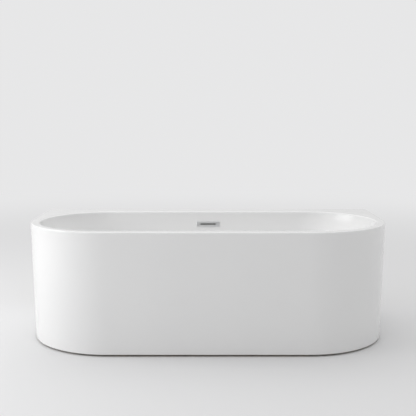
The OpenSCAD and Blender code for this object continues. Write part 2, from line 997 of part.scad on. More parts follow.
basin_shell();
basin_backing();
base_board();
rim_batten();
rim_block(1);  // rim_block_left
rim_block(0);  // rim_block_right
skirt_shell();
skirt_backing();
skirt_batten_front();
skirt_batten_end(1);  // skirt_batten_left
skirt_batten_end(0);  // skirt_batten_right
rail_front();
rail_rear(1);  // rail_rear_left
rail_rear(0);  // rail_rear_right
cross_rail(1);  // cross_rail_left
cross_rail(0);  // cross_rail_right
inner_rail(1);  // inner_rail_left
inner_rail(0);  // inner_rail_right
rail_end_caps();
stay_front(1);  // stay_front_left
stay_front(0);  // stay_front_right
stay_end(1);  // stay_end_left
stay_end(0);  // stay_end_right
stay_screws();
for (k = [1:5]) {
    foot_pad(k);
    foot_stud(k);
    lock_nut(k);
}
drain_flange();
drain_seal();
drain_washer();
drain_body();
plug_cartridge();
plug_cap();
plug_seal();
plug_stem();
trap_nut();
trap_body();
trap_base();
outlet_nut();
outlet_pipe();
overflow_plate();
overflow_gasket();
overflow_body();
overflow_screws();
overflow_hose();
hose_nut_top();
hose_nut_bottom();
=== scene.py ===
import math

import bmesh
import bpy
from mathutils import Matrix, Vector


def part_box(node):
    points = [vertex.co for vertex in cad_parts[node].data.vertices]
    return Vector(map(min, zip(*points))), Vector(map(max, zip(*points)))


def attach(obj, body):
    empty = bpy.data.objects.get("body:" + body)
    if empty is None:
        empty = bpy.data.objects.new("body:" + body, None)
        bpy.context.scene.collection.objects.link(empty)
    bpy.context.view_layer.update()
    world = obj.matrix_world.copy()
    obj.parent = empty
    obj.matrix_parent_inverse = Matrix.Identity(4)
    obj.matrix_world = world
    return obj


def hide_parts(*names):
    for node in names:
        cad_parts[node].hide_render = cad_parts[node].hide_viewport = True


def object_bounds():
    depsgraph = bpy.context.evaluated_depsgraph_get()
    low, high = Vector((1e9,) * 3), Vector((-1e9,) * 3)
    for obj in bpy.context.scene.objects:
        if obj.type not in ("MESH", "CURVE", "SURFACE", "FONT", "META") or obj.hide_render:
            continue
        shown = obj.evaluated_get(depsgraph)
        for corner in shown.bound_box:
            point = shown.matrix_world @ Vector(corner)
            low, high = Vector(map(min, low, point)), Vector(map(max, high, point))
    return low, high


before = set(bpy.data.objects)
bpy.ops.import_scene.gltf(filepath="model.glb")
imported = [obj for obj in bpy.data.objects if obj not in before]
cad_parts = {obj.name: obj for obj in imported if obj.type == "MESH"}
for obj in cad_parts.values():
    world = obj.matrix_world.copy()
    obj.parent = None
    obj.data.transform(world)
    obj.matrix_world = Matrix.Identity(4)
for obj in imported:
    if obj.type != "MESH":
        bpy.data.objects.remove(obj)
cad_low, cad_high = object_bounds()
scene = bpy.context.scene

# ---------------------------------------------------------------------------------------------
# Studio. The camera stands in front of the bath at eye height for a seated person and looks
# slightly down. Two wide soft lights stand at the left, the weaker one further forward; the floor
# runs out into the white air.
camera_back = 3.545
camera_height = 1.067
camera_pitch = 7.25
lens_mm = 63.8
backdrop_white = (0.80, 0.80, 0.805, 1.0)
floor_half = 40.0

camera = bpy.data.objects.new("camera", bpy.data.cameras.new("camera"))
camera.data.lens = lens_mm
camera.data.sensor_width = 36.0
camera.location = (0.0, -camera_back, camera_height)
camera.rotation_euler = (math.radians(90.0 - camera_pitch), 0.0, 0.0)
scene.collection.objects.link(camera)
scene.camera = camera
scene.view_settings.view_transform = "Standard"

world = bpy.data.worlds.new("white_studio")
world.use_nodes = True
scene.world = world


def studio_air(tree):
    """White studio: the eye meets one pale tone all round, while the light that reaches the bath is
    strong from above, fair from behind and weak from the camera's side."""
    base, from_back, from_above = 0.28, 0.22, 0.90
    direction = tree.nodes.new("ShaderNodeSeparateXYZ")
    tree.links.new(tree.nodes.new("ShaderNodeTexCoord").outputs["Generated"], direction.inputs["Vector"])
    total = base
    for value, weight in [(direction.outputs["Y"], from_back), (direction.outputs["Z"], from_above)]:
        term = tree.nodes.new("ShaderNodeMath")
        term.operation = "MULTIPLY_ADD"
        tree.links.new(value, term.inputs[0])
        term.inputs[1].default_value = weight
        if isinstance(total, float):
            term.inputs[2].default_value = total
        else:
            tree.links.new(total, term.inputs[2])
        total = term.outputs["Value"]
    background = tree.nodes["Background"]
    tree.links.new(total, background.inputs["Strength"])
    seen = tree.nodes.new("ShaderNodeBackground")
    seen.inputs["Color"].default_value = backdrop_white
    mix = tree.nodes.new("ShaderNodeMixShader")
    tree.links.new(tree.nodes.new("ShaderNodeLightPath").outputs["Is Camera Ray"], mix.inputs["Fac"])
    tree.links.new(background.outputs["Background"], mix.inputs[1])
    tree.links.new(seen.outputs["Background"], mix.inputs[2])
    tree.links.new(mix.outputs["Shader"], tree.nodes["World Output"].inputs["Surface"])


world.node_tree.nodes["Background"].inputs["Color"].default_value = (1.0, 1.0, 1.0, 1.0)
studio_air(world.node_tree)


def soft_light(name, size_x, size_y, power, place, target):
    """Rectangular softbox of the given size in metres, aimed at a point."""
    lamp = bpy.data.lights.new(name, "AREA")
    lamp.shape = "RECTANGLE"
    lamp.size = size_x
    lamp.size_y = size_y
    lamp.energy = power
    obj = bpy.data.objects.new(name, lamp)
    obj.location = place
    obj.rotation_euler = (Vector(target) - Vector(place)).to_track_quat("-Z", "Y").to_euler()
    scene.collection.objects.link(obj)


softbox_wide, softbox_high = 2.4, 2.0
key_power, fill_power = 44.0, 12.0
light_aim = (0.0, 0.0, 0.3)
soft_light("key_softbox", softbox_wide, softbox_high, key_power, (-3.6, -0.5, 1.6), light_aim)
soft_light("fill_softbox", softbox_wide, softbox_high, fill_power, (-3.0, -2.4, 1.6), light_aim)


def start_material(name):
    """New node material: returns it with its tree, its shader and the object coordinates."""
    material = bpy.data.materials.new(name)
    material.use_nodes = True
    tree = material.node_tree
    coordinates = tree.nodes.new("ShaderNodeTexCoord").outputs["Object"]
    return material, tree, tree.nodes["Principled BSDF"], coordinates


def floor_paint():
    """Pale matt floor that fades into the white of the studio a few metres out."""
    material, tree, shader, coordinates = start_material("studio_floor")
    shader.inputs["Base Color"].default_value = (0.74, 0.74, 0.745, 1.0)
    shader.inputs["Roughness"].default_value = 0.75
    shader.inputs["Specular IOR Level"].default_value = 0.2
    distance = tree.nodes.new("ShaderNodeVectorMath")
    distance.operation = "LENGTH"
    fade = tree.nodes.new("ShaderNodeMapRange")
    fade.interpolation_type = "SMOOTHERSTEP"
    fade.inputs["From Min"].default_value = 1.6
    fade.inputs["From Max"].default_value = 7.0
    glow = tree.nodes.new("ShaderNodeEmission")
    glow.inputs["Color"].default_value = backdrop_white
    mix = tree.nodes.new("ShaderNodeMixShader")
    tree.links.new(coordinates, distance.inputs[0])
    tree.links.new(distance.outputs["Value"], fade.inputs["Value"])
    tree.links.new(fade.outputs["Result"], mix.inputs["Fac"])
    tree.links.new(shader.outputs["BSDF"], mix.inputs[1])
    tree.links.new(glow.outputs["Emission"], mix.inputs[2])
    tree.links.new(mix.outputs["Shader"], tree.nodes["Material Output"].inputs["Surface"])
    return material


floor_bm = bmesh.new()
bmesh.ops.create_grid(floor_bm, x_segments=8, y_segments=8, size=floor_half)
floor_mesh = bpy.data.meshes.new("floor")
floor_bm.to_mesh(floor_mesh)
floor_bm.free()
floor_mesh.materials.append(floor_paint())
floor = bpy.data.objects.new("floor", floor_mesh)
scene.collection.objects.link(floor)

# ---------------------------------------------------------------------------------------------
# Basin shell. One sheet of white sanitary acrylic, drawn down hot over a mould: a flat floor, swept
# walls, a flat rim and a turned-down lip, 4 mm thick, with openings for the drain and overflow.
length = cad_high[0] - cad_low[0]
width = cad_high[1] - cad_low[1]
rim_z = cad_high[2]
lip_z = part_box("skirt_shell")[1][2]
corner_r = 0.400
rear_r = 0.014
lean = 0.012
front_x = length / 2 - corner_r
front_y = corner_r - width / 2
acrylic_t = 0.004
fibre_t = 0.004
rim_inner_r = 0.010
rim_outer_r = 0.006
open_x = 0.800
open_y = 0.320
mid_y = -0.026
floor_z = 0.160
wall_z = rim_z - rim_inner_r
side_lean = 0.090
end_lean = 0.225
sweep_h = 0.095
flat_x = 0.490
flat_y = 0.160
arc_steps = 40
back_steps = 8
straight_cuts = 10
edge_steps = 7
sweep_steps = 18
side_tilt = math.atan(side_lean / (wall_z - floor_z))
end_tilt = math.atan(end_lean / (wall_z - floor_z))
slot_z = rim_z - 0.065
slot_y = mid_y + open_y - (wall_z - slot_z) * math.tan(side_tilt)
wall_slot_half = 0.007
drain_y = (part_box("drain_flange")[0][1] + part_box("drain_flange")[1][1]) / 2
drain_hole_r = 0.026


def add_copy(bm, source):
    """Adds the mesh of another bmesh and gives the edges that came in."""
    before = set(bm.edges)
    mesh = bpy.data.meshes.new("copied")
    source.to_mesh(mesh)
    bm.from_mesh(mesh)
    bpy.data.meshes.remove(mesh)
    return [edge for edge in bm.edges if edge not in before]


def arc_loop(bm, arcs, axis, cuts):
    """Closed loop of arcs, each (start, centre, angle, steps), joined by straight runs with some cuts."""
    ring = bmesh.new()
    ends = []
    for start, centre, angle, steps in arcs:
        head = bmesh.ops.create_vert(ring, co=start)["vert"][0]
        spun = bmesh.ops.spin(ring, geom=[head], cent=centre, axis=axis, dvec=(0, 0, 0), angle=angle,
                              steps=steps, use_merge=False, use_normal_flip=False, use_duplicate=False)
        tail = [item for item in spun["geom_last"] if isinstance(item, bmesh.types.BMVert)][0]
        ends.append((head, tail))
    runs = []
    for (_, tail), (head, _) in zip(ends, ends[1:] + ends[:1]):
        if (tail.co - head.co).length > 1e-6:
            runs.append(ring.edges.new((tail, head)))
    if cuts:
        bmesh.ops.subdivide_edges(ring, edges=runs, cuts=cuts)
    bmesh.ops.remove_doubles(ring, verts=ring.verts, dist=1e-6)
    made = add_copy(bm, ring)
    ring.free()
    return made


def basin_loop(bm, half_x, half_y, z):
    """Level ring of the basin: two half circles and two straights."""
    end = half_x - half_y
    arcs = [((side * end, mid_y - side * half_y, z), (side * end, mid_y, z), math.pi, 2 * arc_steps)
            for side in (1, -1)]
    return arc_loop(bm, arcs, (0, 0, 1), straight_cuts)


def lean_in(z):
    """How far the outside has leaned in at height z."""
    return lean * max(0.0, rim_z - rim_outer_r - z) / rim_z


def plan_loop(bm, inset, z):
    """Level ring of the outside: two large round corners at the front, two small ones at the wall."""
    r = corner_r - lean_in(z) - inset
    back_r = rear_r - inset
    back_x = length / 2 - lean_in(z) - rear_r
    back_y = width / 2 - rear_r
    quarter = math.pi / 2
    arcs = [((front_x, front_y - r, z), (front_x, front_y, z), quarter, arc_steps),
            ((back_x + back_r, back_y, z), (back_x, back_y, z), quarter, back_steps),
            ((-back_x, back_y + back_r, z), (-back_x, back_y, z), quarter, back_steps),
            ((-front_x - r, front_y, z), (-front_x, front_y, z), quarter, arc_steps)]
    return arc_loop(bm, arcs, (0, 0, 1), straight_cuts)


def bend(a, b, c, t):
    """Point at t on the smooth sweep that leaves a towards b and arrives at c."""
    return (1 - t) ** 2 * a + 2 * t * (1 - t) * b + t * t * c


def wall_levels(out):
    """Half length, half width and height of the basin wall's rings, from the floor up."""
    top_x = open_x + out / math.cos(end_tilt)
    top_y = open_y + out / math.cos(side_tilt)
    low = floor_z - out
    corner_x = top_x - (wall_z - low) * math.tan(end_tilt)
    corner_y = top_y - (wall_z - low) * math.tan(side_tilt)
    start_x = corner_x + sweep_h * math.tan(end_tilt)
    start_y = corner_y + sweep_h * math.tan(side_tilt)
    levels = []
    for i in range(sweep_steps, -1, -1):
        t = i / sweep_steps
        levels.append((bend(start_x, corner_x, flat_x, t), bend(start_y, corner_y, flat_y, t),
                       bend(low + sweep_h, low, low, t)))
    slot_rise = wall_slot_half * math.cos(side_tilt)
    slot_shift = out * math.sin(side_tilt)
    low_top = low + sweep_h
    for z in (low_top + (wall_z - low_top) * 0.33, low_top + (wall_z - low_top) * 0.66,
              slot_z - slot_rise - slot_shift, slot_z + slot_rise - slot_shift, wall_z):
        share = (wall_z - z) / (wall_z - low)
        levels.append((top_x - share * (top_x - corner_x), top_y - share * (top_y - corner_y), z))
    return levels


def bridge_all(bm, rings):
    """Joins each ring of edges to the next. Two rings at one height are held apart while they are joined,
    as joined level they come out crossing the opening."""
    lift_apart = 0.1
    for below, above in zip(rings, rings[1:]):
        verts = list({vert for edge in above for vert in edge.verts})
        level = abs(below[0].verts[0].co.z - verts[0].co.z) < 1e-5
        if level:
            bmesh.ops.translate(bm, verts=verts, vec=(0, 0, lift_apart))
        bmesh.ops.bridge_loops(bm, edges=list(below) + list(above))
        if level:
            bmesh.ops.translate(bm, verts=verts, vec=(0, 0, -lift_apart))


def fill_between(bm, loop, inner):
    """Flat sheet between two rings at one height."""
    bmesh.ops.triangle_fill(bm, use_beauty=True, use_dissolve=False, edges=list(loop) + list(inner))


def drain_ring(bm, radius, z):
    halves = [((side * radius, drain_y, z), (0, drain_y, z), math.pi, 32) for side in (1, -1)]
    return arc_loop(bm, halves, (0, 0, 1), 0)


def open_overflow(bm):
    """Takes out the faces of the back wall where the overflow goes through."""
    hole = [face for face in bm.faces
            if abs(face.calc_center_median().x) < 0.01 and face.calc_center_median().y > mid_y
            and abs(face.calc_center_median().z - slot_z) < wall_slot_half]
    bmesh.ops.delete(bm, geom=hole, context="FACES")


def wall_sheet(bm, out, rings_above):
    """Sheet from the drain hole over the floor and up the wall, out metres behind the wet face; gives
    its top ring."""
    low = floor_z - out
    border = 0.004
    wall = [basin_loop(bm, *level) for level in wall_levels(out)]
    bridge_all(bm, wall)
    flat = basin_loop(bm, flat_x - border, flat_y - border, low)
    bridge_all(bm, [wall[0], flat])
    hole = drain_ring(bm, drain_hole_r, low)
    lead = drain_ring(bm, drain_hole_r + border, low)
    bridge_all(bm, [hole, lead])
    fill_between(bm, flat, lead)
    if rings_above:
        bridge_all(bm, [wall[-1]] + rings_above)
    open_overflow(bm)
    return wall[-1]


def close_borders(bm, centre, reach):
    """Joins the open borders of two sheets round a hole with the edge between them."""
    middle = Vector(centre)
    borders = [edge for edge in bm.edges if len(edge.link_faces) == 1
               and ((edge.verts[0].co + edge.verts[1].co) / 2 - middle).length < reach]
    bmesh.ops.bridge_loops(bm, edges=borders)


def close_sheets(bm, front_ring, back_ring):
    """Turns two sheets, one behind the other, into one solid wall with its holes and its end lined."""
    hole_reach = 0.05
    close_borders(bm, (0, slot_y, slot_z), hole_reach)
    close_borders(bm, (0, drain_y, floor_z), hole_reach)
    bridge_all(bm, [front_ring, back_ring])


def add_piece(bm, name, material, body, slot, *nodes):
    """Makes the mesh a shown piece that rides on a body and stands for the named nodes."""
    bmesh.ops.remove_doubles(bm, verts=bm.verts, dist=1e-6)
    bmesh.ops.recalc_face_normals(bm, faces=bm.faces)
    mesh = bpy.data.meshes.new(name)
    bm.to_mesh(mesh)
    bm.free()
    mesh.shade_smooth()
    mesh.set_sharp_from_angle(angle=math.radians(35))
    mesh.materials.append(material)
    piece = bpy.data.objects.new(name, mesh)
    scene.collection.objects.link(piece)
    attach(piece, body)
    if nodes:
        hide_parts(*nodes)
    return piece


def add_noise(tree, coordinates, scale, detail, stretch=(1, 1, 1)):
    """Noise over the piece, stretched along an axis where the real grain runs."""
    mapping = tree.nodes.new("ShaderNodeMapping")
    mapping.inputs["Scale"].default_value = stretch
    noise = tree.nodes.new("ShaderNodeTexNoise")
    noise.inputs["Scale"].default_value = scale
    noise.inputs["Detail"].default_value = detail
    tree.links.new(coordinates, mapping.inputs["Vector"])
    tree.links.new(mapping.outputs["Vector"], noise.inputs["Vector"])
    return noise.outputs["Fac"]


def spread(tree, value, low, high, socket, value_low=0.3, value_high=0.7):
    """Maps a pattern between two values of a socket."""
    ramp = tree.nodes.new("ShaderNodeMapRange")
    ramp.inputs["From Min"].default_value = value_low
    ramp.inputs["From Max"].default_value = value_high
    ramp.inputs["To Min"].default_value = low
    ramp.inputs["To Max"].default_value = high
    tree.links.new(value, ramp.inputs["Value"])
    tree.links.new(ramp.outputs["Result"], socket)


def blend_colours(tree, value, colours, socket):
    """Colour ramp: colours is a list of (place, (r, g, b))."""
    ramp = tree.nodes.new("ShaderNodeValToRGB")
    ramp.color_ramp.elements[0].position = colours[0][0]
    ramp.color_ramp.elements[0].color = (*colours[0][1], 1.0)
    ramp.color_ramp.elements[1].position = colours[-1][0]
    ramp.color_ramp.elements[1].color = (*colours[-1][1], 1.0)
    for place, colour in colours[1:-1]:
        ramp.color_ramp.elements.new(place).color = (*colour, 1.0)
    tree.links.new(value, ramp.inputs["Fac"])
    tree.links.new(ramp.outputs["Color"], socket)


def add_bump(tree, shader, height, distance, strength=1.0):
    """Relief of the given depth in metres."""
    bump = tree.nodes.new("ShaderNodeBump")
    bump.inputs["Distance"].default_value = distance
    bump.inputs["Strength"].default_value = strength
    tree.links.new(height, bump.inputs["Height"])
    tree.links.new(bump.outputs["Normal"], shader.inputs["Normal"])


def white_acrylic():
    """Cast acrylic sheet: clean white through its depth, gloss with a faint draw-down waviness."""
    material, tree, shader, coordinates = start_material("white_acrylic")
    shader.inputs["IOR"].default_value = 1.49
    shader.inputs["Coat Weight"].default_value = 0.35
    shader.inputs["Coat Roughness"].default_value = 0.06
    cloud = add_noise(tree, coordinates, 2.2, 3.0)
    blend_colours(tree, cloud, [(0.3, (0.875, 0.875, 0.875)), (0.7, (0.892, 0.892, 0.889))],
                  shader.inputs["Base Color"])
    haze = add_noise(tree, coordinates, 9.0, 4.0)
    spread(tree, haze, 0.20, 0.27, shader.inputs["Roughness"])
    wave = add_noise(tree, coordinates, 6.0, 1.0)
    add_bump(tree, shader, wave, 0.0004, 0.25)
    return material


acrylic = white_acrylic()
fill_border = 0.003
shell_bm = bmesh.new()
rim_rings = []
for i in range(1, edge_steps + 1):
    turn = math.pi / 2 * i / edge_steps
    out = rim_inner_r * (1 - math.cos(turn))
    rim_rings.append(basin_loop(shell_bm, open_x + out, open_y + out, wall_z + rim_inner_r * math.sin(turn)))
rim_out = rim_inner_r + fill_border
rim_rings.append(basin_loop(shell_bm, open_x + rim_out, open_y + rim_out, rim_z))
wall_sheet(shell_bm, 0.0, rim_rings)
edge_rings = [plan_loop(shell_bm, rim_outer_r + fill_border, rim_z)]
for i in range(edge_steps + 1):
    turn = math.pi / 2 * i / edge_steps
    drop = rim_outer_r * (1 - math.cos(turn))
    edge_rings.append(plan_loop(shell_bm, rim_outer_r * (1 - math.sin(turn)), rim_z - drop))
edge_rings.append(plan_loop(shell_bm, 0.0, lip_z))
bridge_all(shell_bm, edge_rings)
fill_between(shell_bm, rim_rings[-1], edge_rings[0])
under_ring = basin_loop(shell_bm, open_x + rim_inner_r, open_y + rim_inner_r, rim_z - acrylic_t)
wall_sheet(shell_bm, acrylic_t, [under_ring])
back_rings = [plan_loop(shell_bm, acrylic_t, rim_z - acrylic_t), plan_loop(shell_bm, acrylic_t, lip_z)]
bridge_all(shell_bm, back_rings)
fill_between(shell_bm, under_ring, back_rings[0])
close_sheets(shell_bm, edge_rings[-1], back_rings[-1])
add_piece(shell_bm, "basin_acrylic", acrylic, "bath", "acrylic", "basin_shell")

# ---------------------------------------------------------------------------------------------
# Skirt. A second acrylic sheet bent round the front and both ends, bonded under the lip and polished
# flush with it, so no joint shows. Its ends are turned in a little at the wall.
skirt_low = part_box("skirt_shell")[0][2]
return_w = 0.034


def push(bm, edges, step, times):
    """Draws a section along a straight run, in equal steps."""
    for _ in range(times):
        made = bmesh.ops.extrude_edge_only(bm, edges=edges)["geom"]
        bmesh.ops.translate(bm, verts=[v for v in made if isinstance(v, bmesh.types.BMVert)], vec=step)
        edges = [e for e in made if isinstance(e, bmesh.types.BMEdge) and len(e.link_faces) == 1]
    return edges


def sweep_wall(bm, inset, thickness, low, high, edge_r):
    """Upright wall that follows the front and ends: its section is drawn at mid-front, pushed along,
    spun round the corner, pushed back to the wall and mirrored."""
    section = [(inset, low + edge_r), (inset + edge_r, low), (inset + thickness, low),
               (inset + thickness, high), (inset, high)]
    verts = [bm.verts.new((0.0, -width / 2 + lean_in(z) + d, z)) for d, z in section]
    edges = [bm.edges.new((a, b)) for a, b in zip(verts, verts[1:] + verts[:1])]
    edges = push(bm, edges, (front_x / 6, 0, 0), 6)
    spun = bmesh.ops.spin(bm, geom=edges, cent=(front_x, front_y, 0), axis=(0, 0, 1), dvec=(0, 0, 0),
                          angle=math.pi / 2, steps=arc_steps, use_merge=False, use_normal_flip=False,
                          use_duplicate=False)
    edges = [e for e in spun["geom_last"] if isinstance(e, bmesh.types.BMEdge)]
    edges = push(bm, edges, (0, (width / 2 - front_y) / 5, 0), 5)
    bmesh.ops.holes_fill(bm, edges=edges, sides=8)


def mirror_x(bm):
    """Second half of a piece that is the same on the left and right."""
    bmesh.ops.mirror(bm, geom=bm.verts[:] + bm.edges[:] + bm.faces[:], matrix=Matrix.Identity(4),
                     merge_dist=1e-6, axis="X")


def add_block(bm, low, high, ease=0.0, segments=2):
    """Rectangular block between two corners with its edges eased; gives its vertices."""
    low, high = Vector(low), Vector(high)
    cube = bmesh.ops.create_cube(bm, size=1.0)["verts"]
    bmesh.ops.scale(bm, verts=cube, vec=high - low)
    bmesh.ops.translate(bm, verts=cube, vec=(low + high) / 2)
    if ease:
        edges = {edge for vert in cube for edge in vert.link_edges}
        made = bmesh.ops.bevel(bm, geom=list(edges), offset=ease, offset_type="OFFSET", affect="EDGES",
                               segments=segments, profile=0.5, material=-1)
        return made["verts"]
    return cube


def skirt_returns(bm):
    """Turned-in end of the sheet at the wall, on the +X side; it leans with the wall."""
    inner = length / 2 - return_w
    block = add_block(bm, (inner, width / 2 - acrylic_t, skirt_low),
                      (length / 2 - acrylic_t / 2, width / 2, lip_z))
    for vert in block:
        if vert.co.x > inner + 0.01:
            vert.co.x -= lean_in(vert.co.z)


skirt_bm = bmesh.new()
sweep_wall(skirt_bm, 0.0, acrylic_t, skirt_low, lip_z, 0.0015)
skirt_returns(skirt_bm)
mirror_x(skirt_bm)
add_piece(skirt_bm, "skirt_acrylic", acrylic, "bath", "acrylic", "skirt_shell")

# ---------------------------------------------------------------------------------------------
# Glass fibre. Chopped strands and resin are sprayed on the backs of both shells to stiffen them: a
# rough straw-coloured layer that is only seen from behind and below.
bond_gap = 0.0001
skirt_backing_in = 0.006


def chopped_fibre():
    """Resin with strands lying every way: three crossed sets of fine stretched noise, rough and uneven."""
    material, tree, shader, coordinates = start_material("glass_fibre_layer")
    shader.inputs["IOR"].default_value = 1.55
    strands = None
    for stretch in ((1.0, 14.0, 5.0), (14.0, 1.0, 5.0), (5.0, 5.0, 1.0)):
        layer = add_noise(tree, coordinates, 46.0, 3.0, stretch)
        if strands is None:
            strands = layer
            continue
        join = tree.nodes.new("ShaderNodeMath")
        join.operation = "MAXIMUM"
        tree.links.new(strands, join.inputs[0])
        tree.links.new(layer, join.inputs[1])
        strands = join.outputs["Value"]
    straw = [(0.45, (0.50, 0.44, 0.28)), (0.6, (0.66, 0.60, 0.42)), (0.78, (0.80, 0.76, 0.62))]
    blend_colours(tree, strands, straw, shader.inputs["Base Color"])
    wet = add_noise(tree, coordinates, 7.0, 3.0)
    spread(tree, wet, 0.34, 0.62, shader.inputs["Roughness"])
    add_bump(tree, shader, strands, 0.0012, 0.8)
    return material


fibre = chopped_fibre()
fibre_bm = bmesh.new()
fibre_front = wall_sheet(fibre_bm, acrylic_t + bond_gap, [])
fibre_back = wall_sheet(fibre_bm, acrylic_t + fibre_t, [])
close_sheets(fibre_bm, fibre_front, fibre_back)
add_piece(fibre_bm, "basin_fibre", fibre, "bath", "glass_fibre", "basin_backing")

skirt_fibre_bm = bmesh.new()
fibre_in = acrylic_t + bond_gap
sweep_wall(skirt_fibre_bm, fibre_in, fibre_t - bond_gap, skirt_low + skirt_backing_in, lip_z, 0.001)
whole_layer = skirt_fibre_bm.verts[:] + skirt_fibre_bm.edges[:] + skirt_fibre_bm.faces[:]
bmesh.ops.bisect_plane(skirt_fibre_bm, geom=whole_layer, plane_co=(0, width / 2 - fibre_in, 0),
                       plane_no=(0, 1, 0), clear_outer=True)
cut_end = [e for e in skirt_fibre_bm.edges if len(e.link_faces) == 1 and e.verts[0].co.x > 0.1]
bmesh.ops.holes_fill(skirt_fibre_bm, edges=cut_end, sides=8)
mirror_x(skirt_fibre_bm)
add_piece(skirt_fibre_bm, "skirt_fibre", fibre, "bath", "glass_fibre", "skirt_backing")

# ---------------------------------------------------------------------------------------------
# Base board. A resin-sealed particle board is bonded under the basin floor to spread the load on the
# frame; it has a round opening for the drain.
board_hole_r = 0.048


def particle_board():
    """Pressed chips: small flat flecks of several browns under a thin coat of resin."""
    material, tree, shader, coordinates = start_material("particle_board")
    chips = tree.nodes.new("ShaderNodeTexVoronoi")
    chips.inputs["Scale"].default_value = 260.0
    tree.links.new(coordinates, chips.inputs["Vector"])
    tone = tree.nodes.new("ShaderNodeSeparateColor")
    tree.links.new(chips.outputs["Color"], tone.inputs["Color"])
    blend_colours(tree, tone.outputs["Red"], [(0.0, (0.30, 0.20, 0.11)), (0.5, (0.50, 0.37, 0.22)),
                                              (1.0, (0.66, 0.52, 0.34))], shader.inputs["Base Color"])
    spread(tree, add_noise(tree, coordinates, 18.0, 3.0), 0.48, 0.66, shader.inputs["Roughness"])
    add_bump(tree, shader, chips.outputs["Distance"], 0.0004, 0.6)
    return material


def plate_with_hole(bm, low, high, hole_y, hole_r, steps):
    """Flat plate with a round hole through it, drawn as an outline and raised to its thickness."""
    corners = [bm.verts.new((x, y, low[2])) for x, y in
               ((low[0], low[1]), (high[0], low[1]), (high[0], high[1]), (low[0], high[1]))]
    for pair in zip(corners, corners[1:] + corners[:1]):
        bm.edges.new(pair)
    halves = [((side * hole_r, hole_y, low[2]), (0, hole_y, low[2]), math.pi, steps) for side in (1, -1)]
    arc_loop(bm, halves, (0, 0, 1), 0)
    bmesh.ops.remove_doubles(bm, verts=bm.verts, dist=1e-6)
    made = bmesh.ops.triangle_fill(bm, use_beauty=True, use_dissolve=False, edges=bm.edges[:])["geom"]
    faces = [item for item in made if isinstance(item, bmesh.types.BMFace)]
    raised = bmesh.ops.extrude_face_region(bm, geom=faces, use_keep_orig=True)["geom"]
    bmesh.ops.translate(bm, verts=[v for v in raised if isinstance(v, bmesh.types.BMVert)],
                        vec=(0, 0, high[2] - low[2]))


board_bm = bmesh.new()
plate_with_hole(board_bm, *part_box("base_board"), drain_y, board_hole_r, 32)
add_piece(board_bm, "chip_board", particle_board(), "bath", "board", "base_board")

# ---------------------------------------------------------------------------------------------
# Timber. Planed softwood battens stiffen the wide rear rim and the foot of the skirt; they are glassed
# in, and the brackets of the frame are screwed to the lower ones.
timber_ease = 0.0018


def softwood(name, stretch):
    """Planed pine: bands of early and late wood along the batten, with fine pores."""
    material, tree, shader, coordinates = start_material(name)
    rings = add_noise(tree, coordinates, 34.0, 4.0, stretch)
    pine = [(0.30, (0.46, 0.29, 0.14)), (0.5, (0.66, 0.47, 0.27)), (0.68, (0.74, 0.57, 0.36))]
    blend_colours(tree, rings, pine, shader.inputs["Base Color"])
    spread(tree, add_noise(tree, coordinates, 90.0, 2.0, stretch), 0.55, 0.72, shader.inputs["Roughness"])
    add_bump(tree, shader, rings, 0.0003, 0.6)
    return material


along_bath = softwood("softwood_along", (0.06, 1.0, 1.0))
across_bath = softwood("softwood_across", (1.0, 0.06, 1.0))
for node in ("rim_batten", "rim_block_left", "rim_block_right", "skirt_batten_front", "skirt_batten_left",
             "skirt_batten_right"):
    low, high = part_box(node)
    batten_bm = bmesh.new()
    add_block(batten_bm, low, high, timber_ease)
    wood = along_bath if high[0] - low[0] > high[1] - low[1] else across_bath
    add_piece(batten_bm, node + "_planed", wood, "bath", "timber", node)

# ---------------------------------------------------------------------------------------------
# Frame. Square steel tube, 30 by 30 by 2 mm, cut to length, welded and powder coated dark grey. The
# tubes keep the small corner radius of drawn tube; the weld beads show where they meet.
rail_w = 0.030
rail_t = 0.002
tube_corner = 0.0035
bead_r = 0.0022
frame_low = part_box("rail_rear_left")[0][2]
frame_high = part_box("rail_rear_left")[1][2]
nut_across = 0.019
nut_bore = 0.00605
weld_nut_h = 0.012


def powder_coat():
    """Dark grey polyester powder: satin, with its fine orange-peel."""
    material, tree, shader, coordinates = start_material("powder_coat")
    blend_colours(tree, add_noise(tree, coordinates, 5.0, 3.0),
                  [(0.3, (0.030, 0.032, 0.035)), (0.7, (0.045, 0.047, 0.050))], shader.inputs["Base Color"])
    peel = add_noise(tree, coordinates, 420.0, 2.0)
    spread(tree, add_noise(tree, coordinates, 30.0, 3.0), 0.40, 0.52, shader.inputs["Roughness"])
    add_bump(tree, shader, peel, 0.00012, 0.5)
    return material


def add_tube(bm, low, high, axis):
    """Open square tube along X or Y: a block with its long edges rounded, its ends cut off and a wall."""
    low, high = Vector(low), Vector(high)
    cube = bmesh.ops.create_cube(bm, size=1.0)["verts"]
    bmesh.ops.scale(bm, verts=cube, vec=high - low)
    bmesh.ops.translate(bm, verts=cube, vec=(low + high) / 2)
    edges = {edge for vert in cube for edge in vert.link_edges}
    along = [e for e in edges if abs((e.verts[0].co - e.verts[1].co)[axis]) > 0.001]
    faces = {face for vert in cube for face in vert.link_faces}
    ends = [face for face in faces if abs(face.normal[axis]) > 0.9]
    bmesh.ops.delete(bm, geom=ends, context="FACES_ONLY")
    skin = bmesh.ops.bevel(bm, geom=along, offset=tube_corner, offset_type="OFFSET", affect="EDGES",
                           segments=4, profile=0.5, material=-1)
    walls = {face for vert in skin["verts"] for face in vert.link_faces}
    bmesh.ops.recalc_face_normals(bm, faces=list(walls))
    bmesh.ops.solidify(bm, geom=list(walls), thickness=rail_t)


